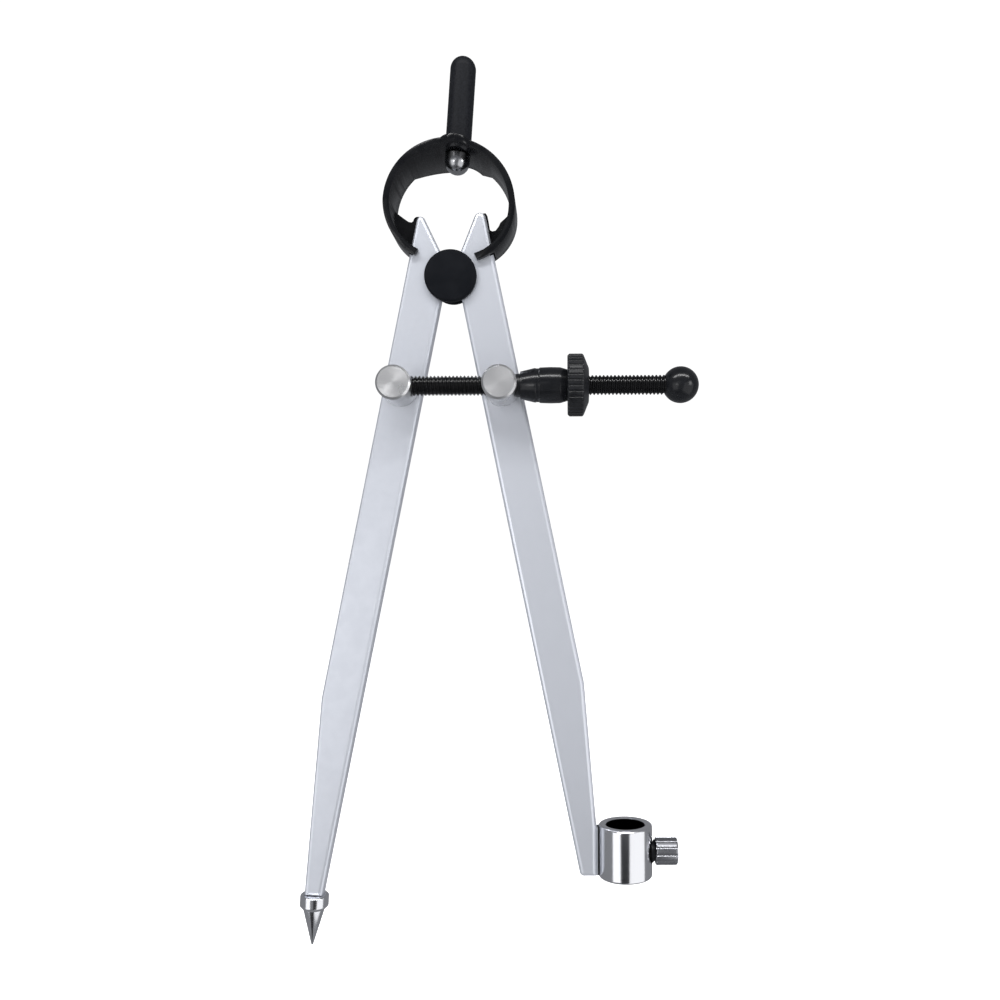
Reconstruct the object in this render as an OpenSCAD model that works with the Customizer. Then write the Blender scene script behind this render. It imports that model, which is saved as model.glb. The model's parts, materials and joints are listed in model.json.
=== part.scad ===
// Spring divider with a quick nut, a fixed point and a tube for a pencil.
// Seen from the front, +X is to the right, +Y goes away and +Z is up.
// The origin is the tip of the scribing point, and the legs stand as they are half open.
// Each leg is drawn upright in its own frame, with the pivot at its origin and the bar
// on the left of it, and is then turned about the pivot.

/* [Legs] */
// Angle of each leg from the upright
leg_angle = 11.5; // [8:0.5:15]
// Thickness of the bars
leg_t = 4; // [3.4:0.1:4.6]
// Width of the left bar at its horn
left_horn_w = 8.6; // [8:0.1:9.2]
// Width of the left bar at its kink
left_leg_w = 8.6; // [8:0.1:9.6]
// Width of the right bar at its horn
right_horn_w = 8.8; // [8:0.1:9.2]
// Width of the right bar at its kink
right_leg_w = 9.1; // [8:0.1:9.6]
// Distance from the pivot's centre to the inner edge of a bar
leg_inset = 1.3; // [0.9:0.1:1.7]
// Rounding of the long edges
leg_round = 0.85; // [0.4:0.05:1]
// Height of the left horn above the pivot's centre
left_horn_h = 11.85; // [11:0.05:13]
// Height of the right horn above the pivot's centre
right_horn_h = 12.7; // [11:0.05:13]
// Radius of the left horn's tip
left_horn_r = 0.95; // [0.9:0.05:1.3]
// Radius of the right horn's tip
right_horn_r = 1.3; // [1:0.05:1.4]
// Angle of the left horn's inner edge from the bar
left_horn_slope = 37; // [33:1:40]
// Angle of the right horn's inner edge from the bar
right_horn_slope = 33.2; // [32:0.2:38]
// How much further each leg can open
leg_open = 19; // [16:0.5:20]
// Room between the horns when the legs are fully open
horn_gap = 0.3; // [0.2:0.05:0.5]
// Distance down from the pivot to the kink in the left bar's outer edge
left_kink_drop = 96; // [85:1:100]
// Distance down from the pivot to the kink in the right bar's outer edge
right_kink_drop = 93; // [85:1:100]
// Distance down from the pivot to the end of the left bar
left_drop = 138.8; // [130:0.1:145]
// Width of the left bar at its end
left_foot_w = 3.9; // [3.6:0.1:4.6]
// Width of the right bar beside the middle of the pencil tube
right_foot_w = 4.5; // [3.8:0.1:5]
// How far the right bar's inner edge leans in on its way down to the tube
right_foot_in = 0.25; // [0:0.05:0.4]
// How far the right bar's end stays above the tube's lower end
foot_rise = 0.5; // [0.2:0.05:0.8]
// Radius of the right bar's lower corner
right_foot_r = 0.9; // [0.6:0.1:1.2]
// Gap between the right bar and the tube, bridged by a tongue
foot_gap = 0.5; // [0.4:0.05:1]
// Thickness of the tongue
tongue_t = 2.2; // [1.6:0.1:2.8]
// How far the tongue runs into the bar
tongue_root = 1.5; // [1:0.1:2]
// Depth of the notch that holds the bow spring
notch_d = 0.8; // [0.75:0.05:1]

/* [Pivot] */
// Radius of the barrel that the legs seat on
barrel_r = 4.2; // [4:0.1:4.5]
// Radius of the cap in front
cap_r = 5.7; // [5.3:0.1:6]
// Thickness of the cap
cap_t = 1.35; // [1:0.05:1.8]
// Radius of the flange behind
flange_r = 4.8; // [4.7:0.1:5.2]
// Thickness of the flange
flange_t = 1; // [0.8:0.1:1.5]
// Radius of the cap's shank
shank_r = 1.5; // [1.2:0.1:2]
// Chamfer of the cap's front edge
cap_chamfer = 0.3; // [0.1:0.05:0.5]
// Chamfer of the flange's back edge
flange_chamfer = 0.2; // [0.1:0.05:0.4]

/* [Bow spring] */
// Outer radius of the bow's upper half
bow_r = 14.25; // [14:0.05:14.6]
// Thickness of the strip
bow_t = 1.35; // [1.1:0.05:1.5]
// How much tighter the bow's lower quarters are bent
bow_tuck = 2.5; // [2.3:0.1:2.7]
// Width of the strip
bow_w = 10.6; // [9.6:0.1:11.5]
// Width of the strip's lower ends
fork_w = 6.6; // [6.4:0.1:7.4]
// Height of the bow's centre above the ends' full taper
taper_h = 10.8; // [9.5:0.1:12]
// Radius of the bump in the strip's front edge, before the handle
eye_r = 3.8; // [3.4:0.1:4.2]
// Distance from the handle's axis to the middle of that bump
eye_out = 3.2; // [2.8:0.1:3.6]
// Radius of the wide part behind the handle
eye_back_r = 10.2; // [9:0.1:10.6]
// Distance from the handle's axis to its middle, towards the left
eye_back_offset = 1.3; // [0:0.1:1.6]
// Radius of the nick in its back edge
nick_r = 3.4; // [2.6:0.1:3.6]
// Distance from the handle's axis to the nick, towards the right
nick_side = 2.1; // [1.5:0.1:2.5]
// Distance from the bow's middle plane to the nick's centre
nick_y = 10.2; // [9.8:0.1:10.8]
// Height of the bow's centre above the pivot
bow_rise = 14.9; // [14.7:0.1:15.2]
// Turn of the bow on the legs, clockwise from the front
bow_turn = 4; // [2:0.5:5]
// Angle from the bottom of the bow to the end of the left fork
left_fork_end = 33; // [28:1:34]
// Angle from the bottom of the bow to the end of the right fork
right_fork_end = 31; // [28:1:34]
// Angle from the bottom of the bow to the root of a fork's slot
fork_root = 45; // [44.5:0.5:46]
// Thickness of the ears behind the legs
ear_t = 1; // [0.6:0.1:1.1]
// Distance from the bow's middle plane to the ears
ear_y = 2.2; // [2.1:0.05:2.3]

/* [Handle] */
// Diameter of the stem
stem_d = 5.65; // [5:0.05:6]
// Length of the stem above the bow
stem_l = 19.95; // [16:0.05:24]
// Distance from the stem's axis to the bow's centre
stem_offset = 0.5; // [0:0.1:0.8]
// Radius of the tenon through the bow
tenon_r = 1.5; // [1.3:0.1:1.7]
// Length of the tenon inside the domed nut
tenon_l = 2.6; // [2:0.1:3]
// Radius of the domed nut
nut_r = 2.76; // [2.4:0.02:3]
// Height of the domed nut's straight wall
nut_wall_h = 1.4; // [1.2:0.1:2]

/* [Posts] */
// Radius of a post
post_r = 3.68; // [3.5:0.02:3.9]
// Height of a post from the leg's face
post_h = 9.7; // [9.2:0.1:10.4]
// Chamfer of a post's face
post_chamfer = 0.45; // [0.2:0.05:0.6]
// Distance down from the pivot to the posts
post_drop = 26.4; // [25:0.2:30]
// Distance from the middle of a bar to its post, towards the outer edge
post_side = 0.3; // [0:0.1:0.4]
// Radius of a post's journal in the leg
journal_r = 2; // [1.8:0.1:2.3]
// Radius of a post's tail
tail_r = 1.3; // [1:0.1:1.5]
// Radius of the riveted end of the tail
rivet_r = 1.9; // [1.7:0.1:2.2]
// Height of the riveted end
rivet_h = 0.7; // [0.5:0.1:1]
// Chamfer of the riveted end
rivet_chamfer = 0.3; // [0.1:0.05:0.5]
// Radius of a washer
washer_r = 3.1; // [2.8:0.1:3.4]
// Thickness of a washer
washer_t = 0.6; // [0.4:0.1:0.8]

/* [Adjusting screw] */
// Outer diameter of the thread
screw_d = 4.2; // [3.8:0.05:4.3]
// Distance from the left post to the centre of the ball
screw_l = 60.5; // [54:0.1:70]
// Distance from the leg's face to the screw's axis
screw_y = 4.9; // [4.7:0.05:5.2]
// Length of the screw past the left post's axis
screw_root = 2.4; // [2:0.1:2.6]
// Chamfer of the screw's end
screw_chamfer = 0.3; // [0.1:0.05:0.5]
// Diameter of the ball
ball_d = 7.76; // [7:0.02:8.4]
// Depth of the screw's hole past the ball's centre
ball_bore = 1.6; // [1:0.1:2.2]

/* [Quick nut] */
// Distance from the right post's axis to the small end of the sleeve
sleeve_start = 4.25; // [4.1:0.05:4.6]
// Length of the sleeve's cone
sleeve_cone_l = 3.2; // [2.8:0.1:3.6]
// Length of the groove round the sleeve
sleeve_groove_l = 1; // [0.6:0.1:1.4]
// Depth of that groove below the cone's large end
sleeve_groove_d = 0.1; // [0.05:0.05:0.2]
// Length of each of the groove's walls
sleeve_groove_wall = 0.2; // [0.1:0.05:0.3]
// Length of the sleeve's barrel
sleeve_barrel_l = 4.35; // [3.6:0.05:5]
// Length of the sleeve's back taper
sleeve_back_l = 1.5; // [1:0.1:2]
// Radius of the sleeve's small end
sleeve_nose_r = 2.9; // [2.76:0.02:3.1]
// Radius of the sleeve where the cone ends
sleeve_cone_r = 3.65; // [3.5:0.05:3.75]
// Radius of the sleeve's barrel
sleeve_r = 3.82; // [3.7:0.02:4]
// How much smaller the barrel is at its front end
barrel_front_drop = 0.08; // [0:0.01:0.12]
// How much smaller it is where the back taper starts
barrel_back_drop = 0.05; // [0:0.01:0.12]
// How much smaller it is at the end of the back taper
sleeve_back_drop = 0.5; // [0.2:0.05:0.7]
// Thickness of the lip at the sleeve's small end
sleeve_lip_t = 0.95; // [0.7:0.05:1.2]
// Radius of the bore in the sleeve
sleeve_bore_r = 2.9; // [2.85:0.05:3]
// Radius of the nose that the half nuts put into the right post
jaw_nose_r = 2.45; // [2.4:0.05:2.6]
// Distance from the right post's axis to that nose
jaw_start = 3; // [2.8:0.05:3.2]
// Width of the chamfer at that nose's end
jaw_chamfer_w = 0.2; // [0.1:0.05:0.2]
// Length of that chamfer
jaw_chamfer_l = 0.4; // [0.2:0.05:0.6]
// Length of the half nuts behind the sleeve's lip
jaw_l = 3.2; // [2.8:0.1:3.6]
// Wire radius of the ring round the half nuts
jaw_ring_r = 0.22; // [0.15:0.01:0.25]
// Radius of the wheel
wheel_r = 6.6; // [6:0.1:7.2]
// Width of the wheel's rim
wheel_w = 3.45; // [2.8:0.05:4]
// Height of the cone behind the wheel
wheel_cone_h = 1.1; // [0.8:0.1:1.6]
// Radius at the small end of that cone
wheel_cone_r = 3.6; // [3.2:0.1:4.4]
// Chamfer of the rim's front edge
wheel_front_chamfer = 0.4; // [0.1:0.05:0.6]
// Chamfer of the rim's back edge
wheel_back_chamfer = 0.3; // [0.1:0.05:0.6]
// Number of flutes in the wheel's rim
wheel_flutes = 36; // [28:1:40]
// Radius of a flute in the wheel's rim
wheel_flute_r = 0.33; // [0.25:0.01:0.4]

/* [Point] */
// Turn of the point from the left bar
point_cant = 8.3; // [4:0.1:11]
// Radius of the collar
collar_r = 3.1; // [2.9:0.1:3.4]
// Height of the collar
collar_h = 3.2; // [3:0.1:4.5]
// Radius of the point's cone at the collar
cone_r = 2.35; // [2:0.05:2.6]
// Length of the cone
cone_l = 8; // [7:0.1:10]
// Chamfer of the collar's upper edge
collar_chamfer = 0.3; // [0.1:0.05:0.5]
// Length of the collar's lower taper
collar_taper_l = 0.7; // [0.4:0.05:1]
// Width of the step from that taper to the cone
collar_step = 0.1; // [0.05:0.05:0.2]
// Radius of the flat that ends the cone
tip_r = 0.2; // [0.1:0.01:0.24]
// Radius of the shank in the leg
point_shank_r = 1.25; // [1.1:0.05:1.3]
// Length of the shank in the leg
point_shank_l = 8; // [6:0.5:10]
// Chamfer of the shank's end
point_chamfer = 0.2; // [0.1:0.05:0.3]
// Room past the shank's end
point_room = 0.5; // [0.3:0.1:1]

/* [Pencil tube] */
// Outer radius of the tube
tube_r = 5.92; // [5.6:0.02:6.2]
// Radius of the bore for the pencil
tube_bore_r = 4.25; // [4:0.05:4.4]
// Height of the tube
tube_h = 11.5; // [10:0.1:13]
// Rounding of the tube's outer edges
tube_round = 0.5; // [0.3:0.05:0.7]
// Chamfer of the bore's edges
tube_chamfer = 0.25; // [0.1:0.05:0.4]
// Distance down from the pivot to the middle of the tube
tube_drop = 131; // [128:0.1:134]
// Turn of the tube from the right bar
tube_cant = 11.5; // [8:0.5:15]

/* [Clamp screw] */
// Radius of the clamp screw's thread
clamp_r = 2.5; // [2:0.05:2.5]
// Radius of its head
clamp_head_r = 2.97; // [2.6:0.02:3.2]
// Length of its head
clamp_head_l = 4.9; // [4.2:0.1:6]
// Gap between its head and the tube
clamp_gap = 0.6; // [0.6:0.05:1.5]
// Height of the clamp screw from the middle of the tube
clamp_z = -0.3; // [-1:0.1:1]
// Number of flutes in its head
clamp_flutes = 12; // [8:1:16]
// Radius of a flute in its head
clamp_flute_r = 0.36; // [0.2:0.01:0.4]
// Chamfer of its head's edges
clamp_head_chamfer = 0.3; // [0.1:0.05:0.5]
// Chamfer of its inner end
clamp_end_chamfer = 0.2; // [0.1:0.05:0.4]
// How far its inner end lies back from the bore
clamp_back = 0.1; // [0.05:0.05:0.3]

/* [Fits] */
// Radial play of a journal that turns
run_fit = 0.05; // [0.02:0.01:0.08]
// Radial play of the parts that slide on the screw
slide_fit = 0.06; // [0.03:0.01:0.09]
// Radial play of a thread or press fit inside one body
press_fit = 0.02; // [0.01:0.01:0.04]
// Gap between flat faces that turn past each other
face_gap = 0.1; // [0.05:0.01:0.15]
// Gap between the bow spring and the legs
spring_gap = 0.15; // [0.1:0.01:0.2]

/* [Hidden] */

$fn = 96;
hull_fn = 32;
// More than any piece reaches across
far = 60;

// A flute's centre lies outside its rim by this share of the flute's radius
flute_set_out = 0.35;

leg_mid = leg_inset + left_leg_w / 2;
leg_face = leg_t / 2;
// The outer edge at a kink, and the centre of a horn's tip, from a bar's width and height there
function kink(w, drop) = [-(leg_inset + w), -drop];
function horn_c(w, h, r) = [-(leg_inset + w) + r, h - r];
// Where the inner edge of a horn leaves its tip with centre c, and meets the bar's edge
function horn_tangent(c, r, slope) = c + r * [cos(slope), sin(slope)];
function horn_root(c, r, slope) = [-leg_inset, horn_tangent(c, r, slope)[1]
                                   + (leg_inset + horn_tangent(c, r, slope)[0]) / tan(slope)];

// A vector in a leg's frame, turned with its frame by an angle about +Y
function turned(p, a) = [p[0] * cos(a) + p[1] * sin(a), p[1] * cos(a) - p[0] * sin(a)];

left_end = [-leg_inset - left_foot_w / 2, -left_drop];
foot_d = tube_r + foot_gap;
foot_inner = -leg_inset + right_foot_in;
tube_c = [foot_inner - right_foot_w - foot_d * cos(tube_cant), -tube_drop];
// A point beside the tube, from its middle, towards the bar and up
function by_tube(d, h) = tube_c + turned([d, h], -tube_cant);
foot_corner_h = foot_rise + right_foot_r - tube_h / 2;
foot_corner_d = (foot_inner - right_foot_r - tube_c[0] + foot_corner_h * sin(tube_cant))
                / cos(tube_cant);

point_l = collar_h + cone_l;
tip = turned(left_end + turned([0, -point_l], -point_cant), leg_angle);

post_in_leg = [-leg_mid - post_side, -post_drop];
post_c = turned(post_in_leg, leg_angle);
post_base = leg_face + face_gap;
post_face = post_base + post_h;
tail_start = leg_face + face_gap;
rivet_start = tail_start + washer_t + press_fit;
screw_plane = leg_face + screw_y;
screw_r = screw_d / 2;
ball_x = post_c[0] + screw_l;

cap_back = leg_face + face_gap;
bow_inner = bow_r - bow_t;
// Edges of the ears from the strip, round the finger behind the horn and to the fork's end
left_ear = [[-13.3, 0.4], [-12.2, -0.5], [-10.8, -1.4], [-9.8, -2], [-9.1, -2.1],
            [-8.8, -1.8], [-8.6, -1.2], [-8.2, -0.8], [-7.5, -0.7], [-7, -1.5],
            [-6.6, -3.6], [-6.4, -8.6]];
right_ear = [[-13.4, 2.2], [-12.6, 1.6], [-12.3, 0.9], [-11.5, 0], [-10.7, -0.8],
             [-10.3, -1.8], [-9.7, -2.7], [-9, -2.9], [-8.5, -2.7], [-8.3, -2], [-8, -0.7],
             [-7.7, 0.4], [-7.3, 1], [-6.8, 1], [-6.4, 0.4], [-6.1, -1.5], [-6, -4],
             [-6.4, -8.6]];
ear_from = 42;
slot_w = leg_t + 2 * spring_gap;
nut_top = sqrt(pow(bow_inner, 2) - pow(nut_r + stem_offset, 2)) - press_fit;
stem_base = bow_r + press_fit;

sleeve_lip = sleeve_start + sleeve_lip_t;
groove_start = sleeve_start + sleeve_cone_l;
barrel_start = groove_start + sleeve_groove_l;
back_start = barrel_start + sleeve_barrel_l;
sleeve_end = back_start + sleeve_back_l;
wheel_start = sleeve_end + press_fit;
wheel_end = wheel_start + wheel_w;
jaw_back = sleeve_lip + press_fit;
jaw_end = jaw_back + jaw_l;
jaw_r = sleeve_bore_r - 2 * press_fit;
ring_at = (jaw_back + jaw_end) / 2;
ring_r = jaw_r - jaw_ring_r - press_fit;

clamp_reach = tube_r + clamp_gap;

module at_tip() { translate([-tip[0], 0, -tip[1]]) children(); }
module left_frame() { at_tip() rotate([0, leg_angle, 0]) children(); }
module right_frame() { at_tip() mirror([1, 0, 0]) rotate([0, leg_angle, 0]) children(); }
module bow_frame() { at_tip() translate([0, 0, bow_rise]) rotate([0, bow_turn, 0]) children(); }
module left_post_frame() { at_tip() translate([post_c[0], 0, post_c[1]]) children(); }
module right_post_frame() { at_tip() translate([-post_c[0], 0, post_c[1]]) children(); }
module screw_axis(x) {
    at_tip() translate([x, -screw_plane, post_c[1]]) rotate([0, 90, 0]) children();
}
module nut_axis() { screw_axis(-post_c[0]) children(); }
module point_frame() {
    left_frame() translate([left_end[0], 0, left_end[1]]) rotate([0, -point_cant, 0]) children();
}
module tube_frame() {
    right_frame() translate([tube_c[0], 0, tube_c[1]]) rotate([0, -tube_cant, 0]) children();
}

// A flat shape in X and Z, given thickness along Y about the middle plane
module upright(t) { rotate([90, 0, 0]) linear_extrude(height = t, center = true) children(); }
// A cylinder along Y about the middle plane
module cross_rod(r, l) { rotate([90, 0, 0]) cylinder(r = r, h = l, center = true); }
// Points of [radius, distance towards the front], turned about Y
module turned_on_y(points) { rotate([90, 0, 0]) rotate_extrude() polygon(points); }

// The bow's strip seen from the front, grown by a gap on both faces
module bow_band(gap) {
    lower_r = bow_r - bow_tuck;
    intersection() {
        difference() {
            circle(r = bow_r + gap);
            circle(r = bow_inner - gap);
        }
        translate([-far, 0]) square([2 * far, far]);
    }
    for (side = [-1, 1]) intersection() {
        translate([side * bow_tuck, 0]) difference() {
            circle(r = lower_r + gap);
            circle(r = lower_r - bow_t - gap);
        }
        translate([side * far / 2, -far / 2]) square([far, far], center = true);
    }
}

// The bar from a convex outline, with its edges rounded
module bar() {
    hull()
        for (a = [0:30:90])
            upright(leg_t - 2 * leg_round * (1 - sin(a)))
                offset(delta = -leg_round * (1 - cos(a))) children();
}

// The bar from the horn's tip down to its kink
module upper_outline(tip, r, slope, kink) {
    translate(tip) circle(r = r, $fn = hull_fn);
    polygon([horn_root(tip, r, slope), kink, tip]);
}

module left_outline() {
    half = left_foot_w / 2;
    kink = kink(left_leg_w, left_kink_drop);
    hull() {
        upper_outline(horn_c(left_horn_w, left_horn_h, left_horn_r), left_horn_r,
                      left_horn_slope, kink);
        polygon([kink, left_end + turned([-half, 0], -point_cant),
                 left_end + turned([half, 0], -point_cant)]);
    }
}

module right_outline() {
    kink = kink(right_leg_w, right_kink_drop);
    hull() {
        upper_outline(horn_c(right_horn_w, right_horn_h, right_horn_r), right_horn_r,
                      right_horn_slope, kink);
        polygon([kink, by_tube(foot_d, tube_h / 2),
                 by_tube(foot_d, foot_rise - tube_h / 2)]);
        translate(by_tube(foot_corner_d, foot_corner_h)) circle(r = right_foot_r, $fn = hull_fn);
    }
}

// What a leg has cut out: the seat, where the horns would meet when the legs are fully open,
// the notch for the turned bow and the post's bore
module leg_cuts(w, turn) {
    cross_rod(barrel_r + run_fit, far);
    rotate([0, -leg_angle - leg_open, 0]) translate([-horn_gap / 2, -far, -far])
        cube([far, 2 * far, 2 * far]);
    intersection() {
        rotate([0, -leg_angle, 0]) translate([0, 0, bow_rise]) rotate([0, turn, 0])
            upright(far) bow_band(spring_gap);
        translate([-(leg_inset + w) + notch_d - far, -far, 0]) cube([far, 2 * far, far]);
    }
    translate([post_in_leg[0], 0, post_in_leg[1]]) cross_rod(journal_r + run_fit, far);
}

module left_leg() {
    color("silver") difference() {
        left_frame() difference() {
            bar() left_outline();
            leg_cuts(left_horn_w, bow_turn);
        }
        point_frame() translate([0, 0, -collar_h])
            cylinder(r = point_shank_r + press_fit, h = collar_h + point_shank_l + point_room);
    }
}

module right_leg() {
    color("silver") difference() {
        right_frame() difference() {
            bar() right_outline();
            leg_cuts(right_horn_w, -bow_turn);
        }
        tube_frame() cylinder(r = tube_r + press_fit, h = far, center = true);
    }
    color("silver") tube_frame() tongue();
}

// The tongue from the right bar to the tube, rooted in the bar
module tongue() {
    difference() {
        translate([tube_bore_r, -tongue_t / 2, foot_rise - tube_h / 2])
            cube([foot_d + tongue_root - tube_bore_r, tongue_t, tube_h - foot_rise - tube_round]);
        cylinder(r = tube_r + press_fit, h = far, center = true);
    }
}

module fulcrum_roller() {
    back = -cap_back - flange_t;
    color("#26282c") at_tip() difference() {
        turned_on_y([[0, cap_back], [barrel_r, cap_back], [barrel_r, -cap_back],
                     [flange_r, -cap_back], [flange_r, back + flange_chamfer],
                     [flange_r - flange_chamfer, back], [0, back]]);
        cross_rod(shank_r + press_fit, far);
    }
}

module fulcrum_cap() {
    front = cap_back + press_fit + cap_t;
    color("#33363b") at_tip() turned_on_y([
        [0, -cap_back - flange_t], [shank_r, -cap_back - flange_t],
        [shank_r, cap_back + press_fit], [cap_r, cap_back + press_fit],
        [cap_r, front - cap_chamfer], [cap_r - cap_chamfer, front], [0, front]]);
}

// The part of the bow between an angle to the left of its bottom and one to the right
module wedge(l, r) {
    polygon([[0, 0], far * [-sin(l), -cos(l)], [0, -far], far * [sin(r), -cos(r)]]);
}

// A point on the middle of the strip, at an angle from the bottom of the left lower quarter
function on_strip(a) = [-bow_tuck, 0] - (bow_r - bow_tuck - bow_t / 2) * [sin(a), cos(a)];

// A plate behind a leg, from the strip to a given edge
module ear(edge) {
    translate([0, ear_y + ear_t / 2, 0]) upright(ear_t)
        polygon(concat([for (a = [ear_from:6:90]) on_strip(a)], edge));
}

module bow_strip() {
    intersection() {
        upright(2 * far) bow_band(0);
        union() {
            rotate([90, 0, 90]) linear_extrude(height = far, center = true) polygon([
                [-bow_w / 2, far], [-bow_w / 2, 0], [-fork_w / 2, -taper_h],
                [-fork_w / 2, -far], [fork_w / 2, -far], [fork_w / 2, -taper_h],
                [bow_w / 2, 0], [bow_w / 2, far]]);
            translate([stem_offset, -eye_out, 0]) cylinder(r = eye_r, h = far);
            difference() {
                translate([stem_offset - eye_back_offset, 0, 0]) cylinder(r = eye_back_r, h = far);
                translate([-far, -2 * far, 0]) cube([2 * far, 2 * far, far]);
                translate([stem_offset + nick_side, nick_y, 0]) cylinder(r = nick_r, h = far);
            }
        }
    }
    ear(left_ear);
    mirror([1, 0, 0]) ear(right_ear);
}

module bow_spring() {
    color("#1f2226") difference() {
        bow_frame() difference() {
            bow_strip();
            upright(far) wedge(left_fork_end, right_fork_end);
            translate([stem_offset, 0, 0]) cylinder(r = tenon_r + press_fit, h = far);
        }
        at_tip() translate([0, 0, bow_rise]) upright(slot_w) wedge(fork_root, fork_root);
    }
}

module handle_stem() {
    r = stem_d / 2;
    color("#2a2e36") bow_frame() translate([stem_offset, 0, 0]) {
        translate([0, 0, nut_top - tenon_l])
            cylinder(r = tenon_r, h = stem_base - nut_top + tenon_l + r);
        translate([0, 0, stem_base]) cylinder(r = r, h = stem_l - r);
        translate([0, 0, stem_base + stem_l - r]) sphere(r = r);
    }
}

module stem_nut() {
    color("#0c0d0f") bow_frame() translate([stem_offset, 0, 0]) difference() {
        union() {
            translate([0, 0, nut_top - nut_wall_h]) cylinder(r = nut_r, h = nut_wall_h);
            translate([0, 0, nut_top - nut_wall_h]) sphere(r = nut_r);
        }
        translate([0, 0, nut_top]) cylinder(r = far, h = far);
        translate([0, 0, nut_top - tenon_l - press_fit])
            cylinder(r = tenon_r + press_fit, h = far);
    }
}

module post() {
    turned_on_y([
        [0, post_face], [post_r - post_chamfer, post_face], [post_r, post_face - post_chamfer],
        [post_r, post_base], [journal_r, post_base], [journal_r, -tail_start],
        [tail_r, -tail_start], [tail_r, -rivet_start], [rivet_r, -rivet_start],
        [rivet_r - rivet_chamfer, -rivet_start - rivet_h], [0, -rivet_start - rivet_h]]);
}

module left_post() {
    color("gainsboro") difference() {
        left_post_frame() post();
        screw_axis(post_c[0] - screw_root) cylinder(r = screw_r + press_fit, h = far);
    }
}

module right_post() {
    color("gainsboro") difference() {
        right_post_frame() post();
        nut_axis() cylinder(r = screw_r + slide_fit, h = far, center = true);
        nut_axis() translate([0, 0, jaw_start - slide_fit])
            cylinder(r = jaw_nose_r + slide_fit, h = far);
    }
}

module post_washer() {
    turned_on_y([[tail_r + press_fit, -tail_start], [washer_r, -tail_start],
                 [washer_r, -tail_start - washer_t], [tail_r + press_fit, -tail_start - washer_t]]);
}

module left_post_washer() { color("silver") left_post_frame() post_washer(); }
module right_post_washer() { color("silver") right_post_frame() post_washer(); }

module adjusting_screw() {
    end = ball_x + ball_bore - press_fit;
    start = post_c[0] - screw_root + press_fit;
    color("#17181a") screw_axis(0) rotate_extrude()
        polygon([[0, start], [screw_r - screw_chamfer, start], [screw_r, start + screw_chamfer],
                 [screw_r, end], [0, end]]);
}

module ball_knob() {
    color("#0a0a0b") screw_axis(0) difference() {
        translate([0, 0, ball_x]) sphere(d = ball_d);
        cylinder(r = screw_r + press_fit, h = ball_x + ball_bore);
    }
}

// Grooves along a turned rim
module flutes(count, at, r, l) {
    for (i = [0:count - 1]) rotate([0, 0, i * 360 / count])
        translate([at + r * flute_set_out, 0, -l / 2]) cylinder(r = r, h = 2 * l);
}

module nut_wheel() {
    bore = screw_r + slide_fit;
    hub_r = sleeve_bore_r - press_fit;
    color("#1c1e21") nut_axis() difference() {
        rotate_extrude() polygon([
            [bore, jaw_end + press_fit], [hub_r, jaw_end + press_fit], [hub_r, wheel_start],
            [wheel_r - wheel_front_chamfer, wheel_start],
            [wheel_r, wheel_start + wheel_front_chamfer],
            [wheel_r, wheel_end - wheel_back_chamfer], [wheel_r - wheel_back_chamfer, wheel_end],
            [wheel_cone_r, wheel_end + wheel_cone_h], [bore, wheel_end + wheel_cone_h]]);
        translate([0, 0, wheel_start]) flutes(wheel_flutes, wheel_r, wheel_flute_r, wheel_w);
    }
}

module nut_sleeve() {
    lip_r = jaw_nose_r + press_fit;
    groove_r = sleeve_cone_r - sleeve_groove_d;
    color("#141518") nut_axis() rotate_extrude() polygon([
        [lip_r, sleeve_start], [sleeve_nose_r, sleeve_start], [sleeve_cone_r, groove_start],
        [groove_r, groove_start + sleeve_groove_wall],
        [groove_r, barrel_start - sleeve_groove_wall],
        [sleeve_r - barrel_front_drop, barrel_start],
        [sleeve_r, barrel_start + sleeve_barrel_l / 2],
        [sleeve_r - barrel_back_drop, back_start], [sleeve_r - sleeve_back_drop, sleeve_end],
        [sleeve_bore_r, sleeve_end], [sleeve_bore_r, sleeve_lip], [lip_r, sleeve_lip]]);
}

// One of the two jaws, on the side of the screw that +X of the turned frame points to
module half_nut() {
    bore = screw_r + slide_fit;
    intersection() {
        rotate_extrude() polygon([
            [bore, jaw_start], [jaw_nose_r - jaw_chamfer_w, jaw_start],
            [jaw_nose_r, jaw_start + jaw_chamfer_l],
            [jaw_nose_r, jaw_back], [jaw_r, jaw_back], [jaw_r, ring_at - jaw_ring_r - press_fit],
            [ring_r - jaw_ring_r - press_fit, ring_at - jaw_ring_r - press_fit],
            [ring_r - jaw_ring_r - press_fit, ring_at + jaw_ring_r + press_fit],
            [jaw_r, ring_at + jaw_ring_r + press_fit], [jaw_r, jaw_end], [bore, jaw_end]]);
        translate([0, face_gap, 0]) translate([-far, 0, 0]) cube([2 * far, far, far]);
    }
}

module front_half_nut() { color("#26282c") nut_axis() mirror([0, 1, 0]) half_nut(); }
module rear_half_nut() { color("#26282c") nut_axis() half_nut(); }

module jaw_ring() {
    color("dimgray") nut_axis() translate([0, 0, ring_at])
        rotate_extrude() translate([ring_r, 0]) circle(r = jaw_ring_r, $fn = 24);
}

module scribing_point() {
    base = -collar_h - press_fit;
    color("gainsboro") point_frame() rotate_extrude() polygon([
        [0, point_shank_l], [point_shank_r - point_chamfer, point_shank_l],
        [point_shank_r, point_shank_l - point_chamfer], [point_shank_r, base], [cone_r, base],
        [tip_r, -point_l], [0, -point_l]]);
}

module point_collar() {
    color("gainsboro") point_frame() rotate_extrude() polygon([
        [point_shank_r + press_fit, -press_fit], [collar_r - collar_chamfer, -press_fit],
        [collar_r, -collar_chamfer], [collar_r, collar_taper_l - collar_h],
        [cone_r + collar_step, -collar_h], [point_shank_r + press_fit, -collar_h]]);
}

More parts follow.
